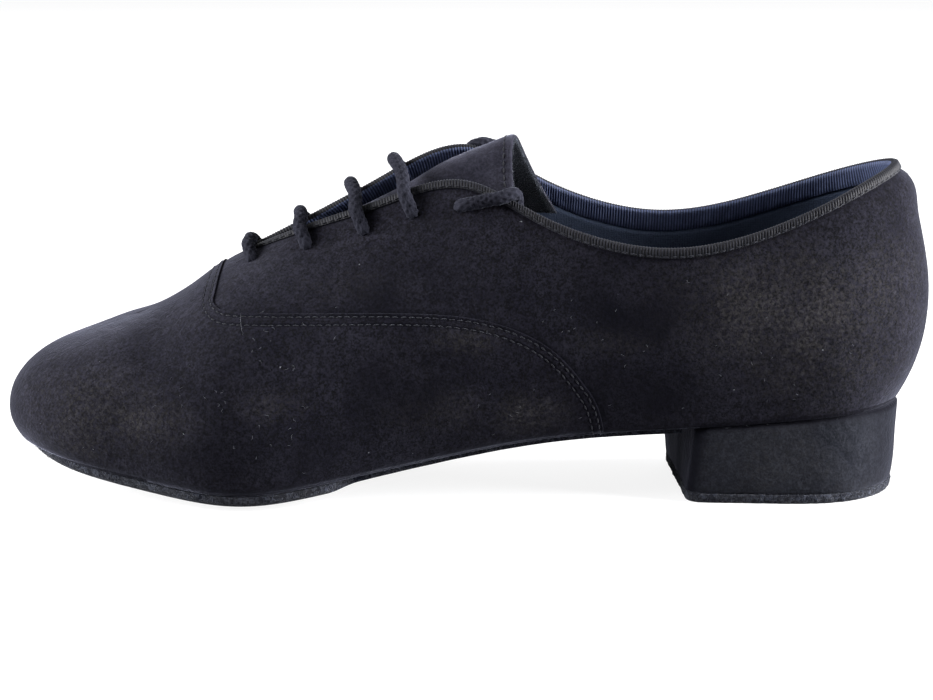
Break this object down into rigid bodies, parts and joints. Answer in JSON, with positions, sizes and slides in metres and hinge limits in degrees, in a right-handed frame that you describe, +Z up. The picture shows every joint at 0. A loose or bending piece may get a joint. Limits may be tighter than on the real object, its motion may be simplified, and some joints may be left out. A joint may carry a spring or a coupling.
{
  "type": "ballroom dance shoe",
  "caption": "Left men's court dance shoe: hollow nubuck upper with a closed laced throat, bound collar, tongue, thin suede sole and low covered heel.",
  "frame": {"origin": "middle of the heel tip's flat underside, between the back of the feather line and the breast", "axes": "+X to the toe, +Y to the outer side of the foot, +Z up from the floor"},
  "size_m": [0.2965, 0.0935, 0.113],
  "materials": {
    "upper_nubuck": "matt black nubuck, cool highlights, dusty brown patches",
    "binding_tape": "black ribbed tape",
    "tongue_nubuck": "matt black nubuck with a fleecy textile lining",
    "footbed": "black sock lining",
    "sole_suede": "rough dark suede",
    "heel_cover": "matt black nubuck over a stacked block",
    "lace_cord": "round braided cotton"
  },
  "bodies": {
    "root": {"upper": "upper_nubuck", "collar_binding": "binding_tape", "tongue": "tongue_nubuck", "insole": "footbed", "outsole": "sole_suede", "heel_block": "heel_cover", "heel_tip": "sole_suede", "lace_bar_1": "lace_cord", "lace_bar_2": "lace_cord", "lace_bar_3": "lace_cord", "lace_bar_4": "lace_cord", "lace_end_outer": "lace_cord", "lace_end_inner": "lace_cord"}
  },
  "joints": []
}
